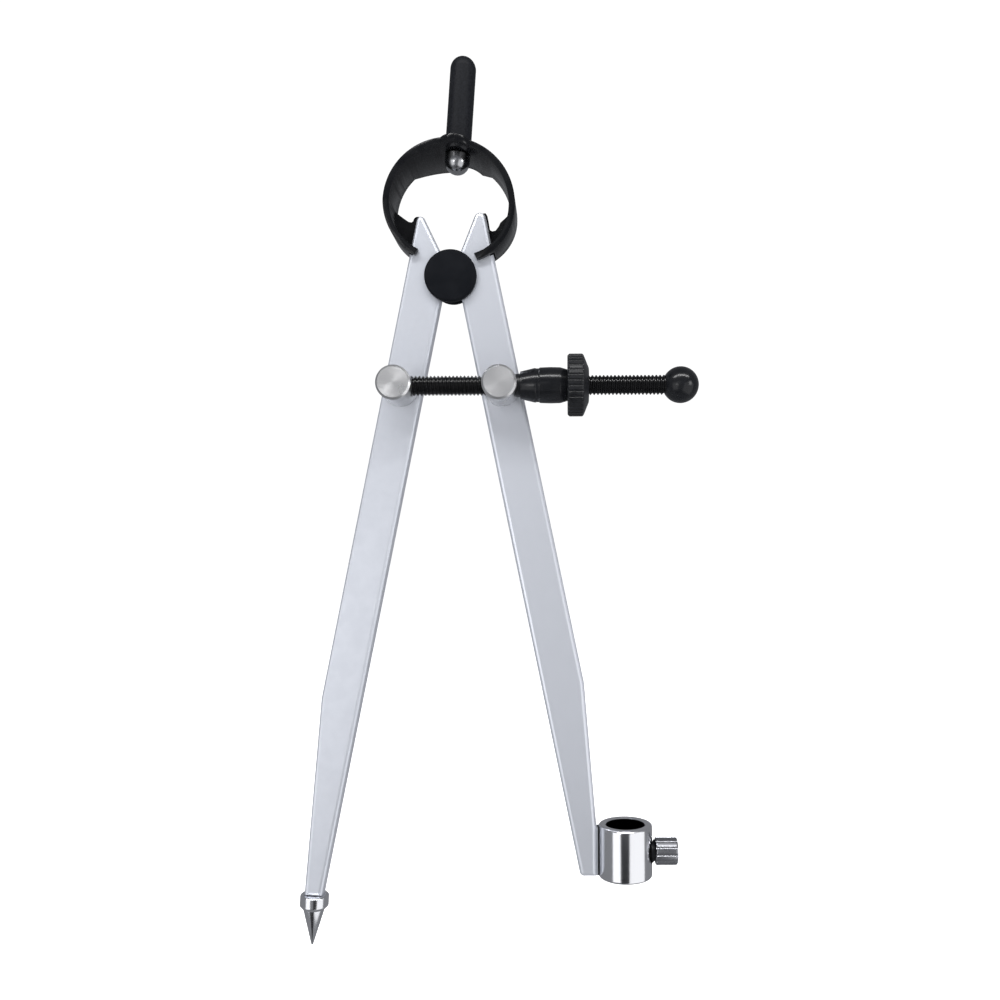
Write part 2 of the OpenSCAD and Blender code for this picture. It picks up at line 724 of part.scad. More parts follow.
module pencil_tube() {
    h = tube_h / 2;
    r = tube_round;
    color("gainsboro") tube_frame() difference() {
        rotate_extrude() polygon(concat(
            [[tube_bore_r, -h + tube_chamfer], [tube_bore_r + tube_chamfer, -h]],
            [for (a = [0:15:90]) [tube_r - r + r * sin(a), -h + r - r * cos(a)]],
            [for (a = [0:15:90]) [tube_r - r + r * cos(a), h - r + r * sin(a)]],
            [[tube_bore_r + tube_chamfer, h], [tube_bore_r, h - tube_chamfer]]));
        translate([0, 0, clamp_z]) rotate([0, -90, 0]) cylinder(r = clamp_r + run_fit, h = far);
    }
}

module clamp_screw() {
    start = tube_bore_r + clamp_back;
    end = clamp_reach + clamp_head_l;
    edge = clamp_head_chamfer;
    color("gainsboro") tube_frame() translate([0, 0, clamp_z]) rotate([0, -90, 0]) difference() {
        rotate_extrude() polygon([
            [0, start], [clamp_r - clamp_end_chamfer, start],
            [clamp_r, start + clamp_end_chamfer], [clamp_r, clamp_reach],
            [clamp_head_r - edge, clamp_reach], [clamp_head_r, clamp_reach + edge],
            [clamp_head_r, end - edge], [clamp_head_r - edge, end], [0, end]]);
        translate([0, 0, clamp_reach])
            flutes(clamp_flutes, clamp_head_r, clamp_flute_r, clamp_head_l);
    }
}

left_leg();
right_leg();
fulcrum_roller();
fulcrum_cap();
bow_spring();
handle_stem();
stem_nut();
left_post();
right_post();
left_post_washer();
right_post_washer();
adjusting_screw();
ball_knob();
nut_wheel();
nut_sleeve();
front_half_nut();
rear_half_nut();
jaw_ring();
scribing_point();
point_collar();
pencil_tube();
clamp_screw();
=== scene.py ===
"""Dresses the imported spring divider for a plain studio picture.

Pieces that need more detail than their solids have, such as the thread and the fluted rims, are
built here in the same place. Every piece gets a finish made of shader nodes. The sizes of
pieces are in millimetres, the set's are in metres, and angles are in degrees unless a docstring
says radians.
"""

from __future__ import annotations

import json
import logging
import math
from dataclasses import dataclass, field
from enum import Enum
from functools import cache
from typing import Any, Sequence

import bmesh
import bpy
from mathutils import Matrix, Vector

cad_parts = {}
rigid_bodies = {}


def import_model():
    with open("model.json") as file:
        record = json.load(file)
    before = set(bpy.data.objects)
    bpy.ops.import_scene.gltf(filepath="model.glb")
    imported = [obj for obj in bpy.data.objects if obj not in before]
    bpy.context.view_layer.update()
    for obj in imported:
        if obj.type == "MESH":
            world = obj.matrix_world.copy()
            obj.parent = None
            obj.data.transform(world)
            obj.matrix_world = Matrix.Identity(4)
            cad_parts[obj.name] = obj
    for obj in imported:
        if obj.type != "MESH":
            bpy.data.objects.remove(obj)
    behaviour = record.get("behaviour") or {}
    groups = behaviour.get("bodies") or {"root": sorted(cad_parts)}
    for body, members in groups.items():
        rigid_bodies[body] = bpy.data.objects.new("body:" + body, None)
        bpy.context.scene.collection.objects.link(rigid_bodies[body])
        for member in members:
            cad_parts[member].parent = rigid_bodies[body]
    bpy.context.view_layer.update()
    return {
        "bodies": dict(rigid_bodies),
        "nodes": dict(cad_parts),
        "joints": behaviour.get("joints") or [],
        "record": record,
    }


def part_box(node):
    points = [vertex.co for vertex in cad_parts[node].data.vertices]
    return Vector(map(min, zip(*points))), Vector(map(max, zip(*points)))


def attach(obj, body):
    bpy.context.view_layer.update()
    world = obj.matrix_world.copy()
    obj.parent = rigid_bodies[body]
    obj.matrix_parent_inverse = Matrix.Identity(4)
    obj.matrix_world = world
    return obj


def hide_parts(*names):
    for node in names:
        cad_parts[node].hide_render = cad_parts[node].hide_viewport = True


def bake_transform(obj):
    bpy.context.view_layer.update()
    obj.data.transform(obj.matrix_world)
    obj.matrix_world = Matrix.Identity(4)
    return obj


log = logging.getLogger("spring_divider")

Colour = tuple[float, float, float]
Point = tuple[float, float]

MM = 0.001
# Vertices nearer than this, in metres, become one
MERGE_WITHIN = 1e-7
# A profile's point nearer to the axis than this, in millimetres, lies on it
ON_AXIS = 1e-6
# Free space round a pressed fit and round one that slides, in millimetres
PRESS_GAP = 0.02
SLIDE_GAP = 0.06
# How far most turned corners are rounded, in millimetres
SOFT_EDGE = 0.12
# A corner takes at most this share of each side, and one flatter than this angle is left alone
CORNER_SHARE = 0.45
NEARLY_STRAIGHT = 170.0
# How many pieces a quarter of a dome's outline is made of
DOME_STEPS = 12
WHITE: Colour = (1.0, 1.0, 1.0)


# Shader arithmetic


@dataclass(frozen=True)
class Signal:
    """One output socket, usable in Python arithmetic."""

    shader: Shader
    socket: bpy.types.NodeSocket

    def maths(self, operation: str, *values: Signal | float) -> Signal:
        """Adds one Math node.

        Args:
            operation: The Math node's operation.
            values: Its inputs, in order.

        Returns:
            The node's result.
        """
        return self.shader.out("ShaderNodeMath", {"operation": operation}, dict(enumerate(values)))

    def __add__(self, other: Signal | float) -> Signal:
        """self + other"""
        return self.maths("ADD", self, other)

    def __radd__(self, other: float) -> Signal:
        """other + self"""
        return self.maths("ADD", other, self)

    def __sub__(self, other: Signal | float) -> Signal:
        """self - other"""
        return self.maths("SUBTRACT", self, other)

    def __rsub__(self, other: float) -> Signal:
        """other - self"""
        return self.maths("SUBTRACT", other, self)

    def __mul__(self, other: Signal | float) -> Signal:
        """self * other"""
        return self.maths("MULTIPLY", self, other)

    def __rmul__(self, other: float) -> Signal:
        """other * self"""
        return self.maths("MULTIPLY", other, self)

    def sine(self) -> Signal:
        """The sine of self, in radians."""
        return self.maths("SINE", self)

    def larger(self, other: Signal | float) -> Signal:
        """The larger of self and other."""
        return self.maths("MAXIMUM", self, other)

    def steepened(self, low: float, high: float) -> Signal:
        """A smooth step from 0 at low to 1 at high.

        Args:
            low: Where the step starts.
            high: Where it ends.

        Returns:
            The step, from 0 to 1.
        """
        return self.shader.out(
            "ShaderNodeMapRange",
            {"interpolation_type": "SMOOTHSTEP"},
            {0: self, 1: low, 2: high, 3: 0.0, 4: 1.0},
        )


class Shader:
    """Builds one node tree."""

    def __init__(self, tree: bpy.types.NodeTree) -> None:
        """Empties a node tree, ready to be built.

        Args:
            tree: The tree of a material or of the world.
        """
        self.tree = tree
        self.tree.nodes.clear()

    def add(
        self,
        kind: str,
        settings: dict[str, Any] | None = None,
        inputs: dict[int | str, Any] | None = None,
    ) -> bpy.types.Node:
        """Adds any node: its settings first, then its sockets.

        Args:
            kind: The node's type.
            settings: Its properties, such as a Math node's operation.
            inputs: A value or a Signal for each socket that is set.

        Returns:
            The new node.
        """
        node = self.tree.nodes.new(kind)
        for name, value in (settings or {}).items():
            setattr(node, name, value)
        for key, value in (inputs or {}).items():
            if isinstance(value, Signal):
                self.tree.links.new(value.socket, node.inputs[key])
            else:
                node.inputs[key].default_value = value
        return node

    def out(
        self,
        kind: str,
        settings: dict[str, Any] | None = None,
        inputs: dict[int | str, Any] | None = None,
        socket: int | str = 0,
    ) -> Signal:
        """Adds any node and gives one of its outputs.

        Args:
            kind: The node's type.
            settings: Its properties.
            inputs: A value or a Signal for each socket that is set.
            socket: The output that is wanted.

        Returns:
            That output.
        """
        return Signal(self, self.add(kind, settings, inputs).outputs[socket])

    def place(self, stretch: Sequence[float] = (1, 1, 1), origin: Sequence[float] = (0, 0, 0)) -> Signal:
        """Coordinates on the piece itself, in metres from an origin.

        Args:
            stretch: A factor for each axis.
            origin: The point that becomes zero.

        Returns:
            The coordinates, which move with the piece.
        """
        where = self.out("ShaderNodeTexCoord", socket="Object")
        shift = [-o * s for o, s in zip(origin, stretch)]
        inputs = {"Vector": where, "Location": shift, "Scale": list(stretch)}
        return self.out("ShaderNodeMapping", {}, inputs)

    def distance(self, where: Signal) -> Signal:
        """How far coordinates are from zero."""
        return self.out("ShaderNodeVectorMath", {"operation": "LENGTH"}, {0: where}, "Value")

    def noise(self, where: Signal, scale: float, detail: float = 2.0) -> Signal:
        """Soft noise from 0 to 1.

        Args:
            where: The coordinates.
            scale: How many patches there are in a metre.
            detail: How many finer layers are added.

        Returns:
            The noise's value.
        """
        return self.out("ShaderNodeTexNoise", {}, {"Vector": where, "Scale": scale, "Detail": detail})

    def blend(self, factor: Signal, first: Colour, second: Colour) -> Signal:
        """Mixes two colours.

        Args:
            factor: 0 for the first and 1 for the second.
            first: The first colour.
            second: The second colour.

        Returns:
            The mixed colour.
        """
        # The node's colours are its inputs 6 and 7 and its output 2
        inputs = {0: factor, 6: (*first, 1.0), 7: (*second, 1.0)}
        return self.out("ShaderNodeMix", {"data_type": "RGBA"}, inputs, 2)

    def bump(self, height: Signal, depth_mm: float) -> Signal:
        """A normal from a height.

        Args:
            height: The height, where 1 is depth_mm.
            depth_mm: The depth of the relief.

        Returns:
            The bumped normal.
        """
        inputs = {"Strength": 1.0, "Distance": depth_mm * MM, "Height": height}
        return self.out("ShaderNodeBump", {}, inputs)


# Finishes


@dataclass(frozen=True)
class Finish:
    """A metal or coated surface with mottled colour, uneven gloss and fine grain.

    Attributes:
        name: The material's name.
        slot: The material slot that it belongs to.
        colour: The first colour.
        second: The colour of its patches.
        metallic: From 0, a coating, to 1, bare metal.
        roughness: The roughness halfway between the two colours.
        unevenness: How much rougher the second colour is than the first.
        patch: How many patches there are in a metre.
        patch_detail: How many finer layers the patches have.
        patch_edge: The noise values at which the second colour starts and is full.
        grain: How many grains there are in a metre.
        grain_detail: How many finer layers the grain has.
        grain_depth: The grain's depth in millimetres.
        specular: How strong the reflection of a coating is.
    """

    name: str
    slot: str
    colour: Colour
    second: Colour
    metallic: float = 1.0
    roughness: float = 0.4
    unevenness: float = 0.06
    patch: float = 300.0
    patch_detail: float = 4.0
    patch_edge: Point = (0.3, 0.7)
    grain: float = 4500.0
    grain_detail: float = 3.0
    grain_depth: float = 0.001
    specular: float = 0.5

    def relief(self, shader: Shader) -> Signal:
        """The grain's normal."""
        grain = shader.noise(shader.place(), self.grain, self.grain_detail)
        return shader.bump(grain, self.grain_depth)

    def tone(self, shader: Shader) -> Signal:
        """How much of the second colour there is at each place, from 0 to 1."""
        patches = shader.noise(shader.place(), self.patch, self.patch_detail)
        return patches.steepened(*self.patch_edge)

    @cache
    def material(self) -> bpy.types.Material:
        """Builds the material once.

        Returns:
            The finish as a Blender material.
        """
        made = bpy.data.materials.new(self.name)
        made.use_nodes = True
        shader = Shader(made.node_tree)
        tone = self.tone(shader)
        surface = shader.out(
            "ShaderNodeBsdfPrincipled",
            {},
            {
                "Base Color": shader.blend(tone, self.colour, self.second),
                "Metallic": self.metallic,
                "Roughness": self.roughness + (tone - 0.5) * self.unevenness,
                "Normal": self.relief(shader),
                "Specular IOR Level": self.specular,
            },
        )
        shader.add("ShaderNodeOutputMaterial", {}, {"Surface": surface})
        return made


@dataclass(frozen=True)
class Faced(Finish):
    """A turned face: fine rings about an axis that runs from front to back.

    Attributes:
        centre: A point on the axis, in metres.
        ring_mm: How far apart the rings are.
        ring_depth: Their depth in millimetres.
        wander: How far the rings stray, in radians of one ring.
        wander_scale: How many times they stray in a metre.
    """

    centre: tuple[float, float, float] = (0.0, 0.0, 0.0)
    ring_mm: float = 0.16
    ring_depth: float = 0.009
    wander: float = 0.6
    wander_scale: float = 900.0

    def relief(self, shader: Shader) -> Signal:
        """The turning marks' normal.

        Args:
            shader: The material's node tree.

        Returns:
            The bumped normal.
        """
        where = shader.place((1, 0, 1), self.centre)
        away = shader.distance(where)
        stray = shader.noise(where, self.wander_scale) * self.wander
        rings = (away * (2 * math.pi / (self.ring_mm * MM)) + stray).sine() * 0.5 + 0.5
        return shader.bump(rings, self.ring_depth)


@dataclass(frozen=True)
class PaintedShade(Finish):
    """A plated surface with painted shade: black near an upright axis and round a hole in its right side.

    Attributes:
        centre: Where the upright axis and the hole's axis meet, in metres.
        dark_mm: How far from the upright axis it is black.
        edge_mm: How wide the step from black to bright is.
        hole_mm: How far from the hole's axis it is black, or 0 if there is no hole.
        hole_from: How far right of the centre the hole's dark starts and is full, in metres.
    """

    centre: tuple[float, float, float] = (0.0, 0.0, 0.0)
    dark_mm: float = 4.25
    edge_mm: float = 0.12
    hole_mm: float = 0.0
    hole_from: Point = (0.0, 0.001)

    def near(self, shader: Shader, across: tuple[int, int, int], radius_mm: float) -> Signal:
        """1 within a radius of an axis through the centre and 0 outside it.

        Args:
            shader: The material's node tree.
            across: 1 for each direction across the axis and 0 for the one along it.
            radius_mm: The radius, in millimetres.

        Returns:
            The painted shade, from 0 to 1.
        """
        away = shader.distance(shader.place(across, self.centre))
        return 1.0 - away.steepened(radius_mm * MM, (radius_mm + self.edge_mm) * MM)

    def tone(self, shader: Shader) -> Signal:
        """Where the surface is painted black as shade.

        Args:
            shader: The material's node tree.

        Returns:
            1 where it is black and 0 elsewhere.
        """
        dark = self.near(shader, (1, 1, 0), self.dark_mm)
        if not self.hole_mm:
            return dark
        right = shader.out("ShaderNodeSeparateXYZ", {}, {0: shader.place(origin=self.centre)}, "X")
        hole = self.near(shader, (0, 1, 1), self.hole_mm) * right.steepened(*self.hole_from)
        return dark.larger(hole)


NICKEL = Finish(
    "satin_nickel", "satin_nickel", (0.585, 0.605, 0.655), (0.555, 0.575, 0.625),
    metallic=0.75, roughness=0.40, unevenness=0.05,
)
CAP_BLACK = Finish(
    "satin_black", "satin_black", (0.003, 0.0036, 0.005), (0.0044, 0.005, 0.0066),
    metallic=0.0, roughness=0.5, specular=0.055,
)
OXIDE = Finish(
    "black_oxide", "black_oxide", (0.003, 0.0032, 0.004), (0.005, 0.0052, 0.006),
    metallic=0.0, roughness=0.2, unevenness=0.08, specular=0.16,
)
SCREW_BLACK = Finish(
    "screw_oxide", "black_oxide", (0.002, 0.002, 0.0023), (0.003, 0.003, 0.0034),
    metallic=0.0, roughness=0.22, unevenness=0.1, specular=0.36,
)
STEM_BLACK = Finish(
    "stem_oxide", "black_oxide", (0.003, 0.0034, 0.0048), (0.0075, 0.0082, 0.0105),
    metallic=0.0, roughness=0.5, unevenness=0.1, patch=2500.0, specular=0.1,
)
GLOSS = Finish(
    "gloss_black", "gloss_black", (0.004, 0.0044, 0.0055), (0.006, 0.0064, 0.0075),
    metallic=0.0, roughness=0.2, unevenness=0.03, grain_depth=0.0003, specular=0.26,
)
NUT_BLACK = Finish(
    "black_chrome", "gloss_black", (0.46, 0.465, 0.48), (0.40, 0.405, 0.42),
    roughness=0.2, unevenness=0.03, grain_depth=0.0003,
)
WHEEL = Finish(
    "black_steel", "black_steel", (0.004, 0.0044, 0.0055), (0.008, 0.0085, 0.010),
    metallic=0.0, roughness=0.34, specular=0.3,
)
TURNED = Finish(
    "turned_steel", "turned_steel", (0.86, 0.86, 0.865), (0.80, 0.80, 0.805), roughness=0.28,
)
CHROME = Finish(
    "chrome", "chrome", (0.80, 0.805, 0.83), (0.76, 0.77, 0.80),
    roughness=0.17, unevenness=0.03, grain_depth=0.0004,
)
CLAMP_STEEL = Finish(
    "clamp_steel", "chrome", (0.36, 0.365, 0.385), (0.31, 0.315, 0.335),
    roughness=0.27, unevenness=0.05,
)
# Painted shade: the dark of the seam between the right leg and the tube, and that inside the tube and
# round its hole
SEAM_PAINTED_SHADE: Colour = (0.012, 0.012, 0.014)
TUBE_PAINTED_SHADE: Colour = (0.006, 0.006, 0.007)


def faced(name: str, joint: dict[str, Any]) -> Faced:
    """The turned steel of a post, with rings about the post's own axis.

    Args:
        name: The material's name.
        joint: The joint about which the post swivels.

    Returns:
        The finish.
    """
    return Faced(
        name, "turned_steel", (0.76, 0.76, 0.765), (0.70, 0.70, 0.705),
        roughness=0.3, centre=tuple(joint["pos_m"]),
    )


# Meshes


@dataclass(frozen=True)
class Axis:
    """A turning axis: where it starts, where it runs and which way angle zero points."""

    origin: Vector
    along: Vector
    across: Vector

    def frame(self) -> Matrix:
        """Takes millimetres across and along the axis to metres in the part's frame."""
        turn = Matrix((self.across, self.along.cross(self.across), self.along)).transposed().to_4x4()
        return Matrix.Translation(self.origin) @ turn @ Matrix.Scale(MM, 4)

    @classmethod
    def tilted(cls, origin: Vector, degrees: float) -> Axis:
        """An upright axis that leans towards +X.

        Args:
            origin: A point on it.
            degrees: How far it leans.

        Returns:
            The axis.
        """
        a = math.radians(degrees)
        return cls(origin, Vector((math.sin(a), 0, math.cos(a))), Vector((math.cos(a), 0, -math.sin(a))))


@dataclass(frozen=True)
class Rim:
    """The angles at which a turned body is sampled, and the grooves along it, if any.

    Attributes:
        grooves: How many grooves there are.
        radius: The radius that the grooves cut into.
        groove: A groove's own radius.
        plain_steps: How many angles a body without grooves is sampled at.
        groove_steps: How many steps half of a groove is sampled in.
        set_out: How far a groove's centre lies beyond the radius, as a share of the groove's.
    """

    grooves: int = 0
    radius: float = 1.0
    groove: float = 0.0
    plain_steps: int = 72
    groove_steps: int = 4
    set_out: float = 0.35

    @property
    def centre(self) -> float:
        """How far a groove's centre is from the axis."""
        return self.radius + self.set_out * self.groove

    def half_angle(self) -> float:
        """Half of the angle that a groove takes at the rim, in radians."""
        c, r, g = self.centre, self.radius, self.groove
        return math.acos((c * c + r * r - g * g) / (2 * c * r))

    def angles(self) -> list[float]:
        """The sampled angles.

        Returns:
            The angles about the axis, in radians.
        """
        if not self.grooves:
            return [2 * math.pi * i / self.plain_steps for i in range(self.plain_steps)]
        pitch, half, steps = 2 * math.pi / self.grooves, self.half_angle(), self.groove_steps
        local = [half * k / steps for k in range(-steps, steps + 1)] + [pitch / 2]
        return [pitch * i + a for i in range(self.grooves) for a in local]

    def limit(self, angle: float) -> float:
        """The radius that the grooves leave.

        Args:
            angle: An angle about the axis, in radians.

        Returns:
            The largest radius there.
        """
        if not self.grooves:
            return math.inf
        pitch = 2 * math.pi / self.grooves
        off = (angle + pitch / 2) % pitch - pitch / 2
        room = self.groove**2 - (self.centre * math.sin(off)) ** 2
        return math.inf if room < 0 else self.centre * math.cos(off) - math.sqrt(room)


def eased(profile: Sequence[Point], radius: float, loop: bool = False, steps: int = 3) -> list[Point]:
    """Rounds the corners of a profile.

    Args:
        profile: Its points.
        radius: How far before each corner the rounding starts.
        loop: True if the last point joins the first.
        steps: How many pieces a corner is made of.

    Returns:
        The rounded profile.
    """
    points = [Vector(p) for p in profile]
    made: list[Point] = []
    for i, here in enumerate(points):
        if not loop and i in (0, len(points) - 1):
            made.append(tuple(here))
            continue
        back, on = points[i - 1] - here, points[(i + 1) % len(points)] - here
        if back.angle(on) > math.radians(NEARLY_STRAIGHT):
            made.append(tuple(here))
            continue
        start = here + back.normalized() * min(radius, back.length * CORNER_SHARE)
        end = here + on.normalized() * min(radius, on.length * CORNER_SHARE)
        for k in range(steps + 1):
            t = k / steps
            made.append(tuple(start * (1 - t) ** 2 + here * 2 * t * (1 - t) + end * t * t))
    return made


def piece(name: str, mesh: bmesh.types.BMesh, crease: float = 32.0) -> bpy.types.Object:
    """Turns a finished bmesh into an object that is smooth except at its corners.

    Args:
        name: The piece's name.
        mesh: The bmesh, which is freed.
        crease: The angle in degrees from which an edge stays sharp.

    Returns:
        The new object, in the scene.
    """
    bmesh.ops.remove_doubles(mesh, verts=mesh.verts, dist=MERGE_WITHIN)
    bmesh.ops.recalc_face_normals(mesh, faces=mesh.faces)
    data = bpy.data.meshes.new(name)
    mesh.to_mesh(data)
    mesh.free()
    data.polygons.foreach_set("use_smooth", [True] * len(data.polygons))
    data.set_sharp_from_angle(angle=math.radians(crease))
    made = bpy.data.objects.new(name, data)
    bpy.context.scene.collection.objects.link(made)
    return made


def turned(
    name: str, axis: Axis, profile: Sequence[Point], rim: Rim = Rim(), loop: bool = False
) -> bpy.types.Object:
    """A body of revolution, with grooves along it if the rim has them.

    Args:
        name: The piece's name.
        axis: The axis it is turned about.
        profile: Points of (radius, distance along the axis), in millimetres.
        rim: The sampled angles and the grooves.
        loop: True if the profile closes on itself, as a ring's does.

    Returns:
        The new object.
    """
    mesh, frame, angles = bmesh.new(), axis.frame(), rim.angles()
    rings = []
    for radius, along in profile:
        if radius < ON_AXIS:
            rings.append([mesh.verts.new(frame @ Vector((0, 0, along)))] * len(angles))
            continue
        reach = [min(radius, rim.limit(a)) for a in angles]
        rings.append([
            mesh.verts.new(frame @ Vector((r * math.cos(a), r * math.sin(a), along)))
            for r, a in zip(reach, angles)
        ])
    pairs = list(zip(rings, rings[1:])) + ([(rings[-1], rings[0])] if loop else [])
    for low, high in pairs:
        for j in range(len(angles)):
            k = (j + 1) % len(angles)
            corners = dict.fromkeys((low[j], low[k], high[k], high[j]))
            if len(corners) > 2:
                mesh.faces.new(list(corners))
    return piece(name, mesh)


@dataclass(frozen=True)
class Thread:
    """A screw thread.

    Attributes:
        crest: Its outer radius.
        root: Its inner radius.
        pitch: How far apart its turns are.
        steps: How many points a turn has.
        chamfer: How far from each end of the rod the thread rises to its full height.
        flank_start: Where in the pitch the root ends.
        crest_start: Where in the pitch the crest starts.
        crest_end: Where in the pitch the crest ends.
        crease: The angle from which its edges stay sharp.
    """

    crest: float
    root: float
    pitch: float
    steps: int = 28
    chamfer: float = 0.35
    flank_start: float = 0.2
    crest_start: float = 0.5
    crest_end: float = 0.68
    crease: float = 24.0

    def rod(self, name: str, axis: Axis, start: float, end: float) -> bpy.types.Object:
        """A threaded rod, whose rings follow the helix.

        Args:
            name: The piece's name.
            axis: The rod's axis.
            start: Where the rod starts along it, in millimetres.
            end: Where it ends.

        Returns:
            The new object.
        """
        shape = [
            (0.0, self.root), (self.flank_start, self.root),
            (self.crest_start, self.crest), (self.crest_end, self.crest),
        ]
        # One turn more at each end, since a ring runs on by a pitch as it goes round
        turns = math.ceil((end - start) / self.pitch) + 2
        mesh, frame, rings = bmesh.new(), axis.frame(), []
        for i in range(len(shape) * turns):
            turn, (part, height) = i // len(shape), shape[i % len(shape)]
            ring = []
            for j in range(self.steps):
                free = start + (turn - 1 + part + j / self.steps) * self.pitch
                along = min(max(free, start), end)
                ease = min(along - start, end - along, self.chamfer) / self.chamfer
                r, a = self.root + (height - self.root) * ease, 2 * math.pi * j / self.steps
                where = Vector((r * math.cos(a), r * math.sin(a), along))
                ring.append(mesh.verts.new(frame @ where))
            rings.append(ring)
        for i in range(len(rings) - len(shape) - 1):
            for j in range(self.steps):
                wrap = j + 1 == self.steps
                near, k = (i + len(shape), 0) if wrap else (i, j + 1)
                mesh.faces.new((rings[i][j], rings[near][k], rings[near + 1][k], rings[i + 1][j]))
        bmesh.ops.remove_doubles(mesh, verts=mesh.verts, dist=MERGE_WITHIN)
        bmesh.ops.delete(mesh, geom=[v for v in mesh.verts if not v.link_faces], context="VERTS")
        bmesh.ops.holes_fill(mesh, edges=[e for e in mesh.edges if e.is_boundary], sides=0)
        return piece(name, mesh, self.crease)


# The object's assemblies


@dataclass
class Assembly:
    """A group of pieces that are built and dressed together."""

    nodes: dict[str, bpy.types.Object]
    joints: dict[str, dict[str, Any]]

    def pivot(self, joint: str) -> Vector:
        """The point that a joint turns about."""
        return Vector(self.joints[joint]["pos_m"])

    def dress(self, node: str, finish: Finish) -> None:
        """Gives a CAD node that stays its finish.

        Args:
            node: The node's name.
            finish: What it is made of.
        """
        target = self.nodes[node]
        if not target.material_slots:
            target.data.materials.append(finish.material())
        for slot in target.material_slots:
            slot.material = finish.material()
        log.info("%s keeps its solid, in %s", node, finish.name)

    def fit(self, made: bpy.types.Object, body: str, finish: Finish, *nodes: str) -> None:
        """Gives a new piece its finish and puts it in the place of CAD nodes.

        Args:
            made: The new piece, already in place.
            body: The body that it rides on.
            finish: What it is made of.
            nodes: The CAD nodes that it stands for.
        """
        made.data.materials.append(finish.material())
        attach(made, body)
        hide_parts(*nodes)
        log.info("%s rides on %s, in %s", made.name, body, finish.name)


@dataclass
class Legs(Assembly):
    """The two flat legs with the scribing point and its collar.

    The collar starts collar_step wider than the cone and widens to its radius in collar_taper.
    """

    point_lean: float = 3.2
    cone_length: float = 8.0
    cone_radius: float = 2.35
    cone_edge: float = 0.06
    tip_radius: float = 0.2
    collar_radius: float = 3.1
    collar_length: float = 3.2
    collar_step: float = 0.1
    collar_taper: float = 0.7
    collar_chamfer: float = 0.3
    shank_radius: float = 1.25
    shank_length: float = 8.0
    # How far from the tube's axis the right leg's painted seam shade reaches
    seam_shade_radius: float = 6.15

    def build(self) -> None:
        """Dresses the legs and turns the point and its collar."""
        self.dress("left_leg", NICKEL)
        # The right leg is painted black round the tube: painted shade in the seam between them.
        low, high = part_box("pencil_tube")
        seam_shaded_nickel = PaintedShade(
            "nickel_with_painted_seam_shade", "satin_nickel", NICKEL.colour, SEAM_PAINTED_SHADE,
            metallic=NICKEL.metallic, roughness=NICKEL.roughness, unevenness=NICKEL.unevenness,
            centre=tuple((low + high) / 2), dark_mm=self.seam_shade_radius,
        )
        self.dress("right_leg", seam_shaded_nickel)
        axis = Axis.tilted(Vector((0, 0, 0)), self.point_lean)
        shoulder, top = self.cone_length, self.cone_length + self.collar_length
        cone = [
            (0, 0), (self.tip_radius, 0), (self.cone_radius, shoulder),
            (self.shank_radius, shoulder + PRESS_GAP),
            (self.shank_radius, top + self.shank_length), (0, top + self.shank_length),
        ]
        point = turned("scriber_point", axis, eased(cone, self.cone_edge))
        self.fit(point, "left_arm", CHROME, "scribing_point")
        bore, chamfer = self.shank_radius + PRESS_GAP, self.collar_chamfer
        collar = [
            (bore, shoulder), (self.cone_radius + self.collar_step, shoulder),
            (self.collar_radius, shoulder + self.collar_taper), (self.collar_radius, top - chamfer),
            (self.collar_radius - chamfer, top - PRESS_GAP), (bore, top - PRESS_GAP),
        ]
        ring = turned("scriber_collar", axis, eased(collar, SOFT_EDGE, True), loop=True)
        self.fit(ring, "left_arm", CHROME, "point_collar")


class Side(Enum):
    """The two halves of the bow, and the arm on each one's side."""

    LEFT = "left_arm"
    RIGHT = "right_arm"

    @property
    def outward(self) -> float:
        """-1 for the left and +1 for the right."""
        return -1.0 if self is Side.LEFT else 1.0


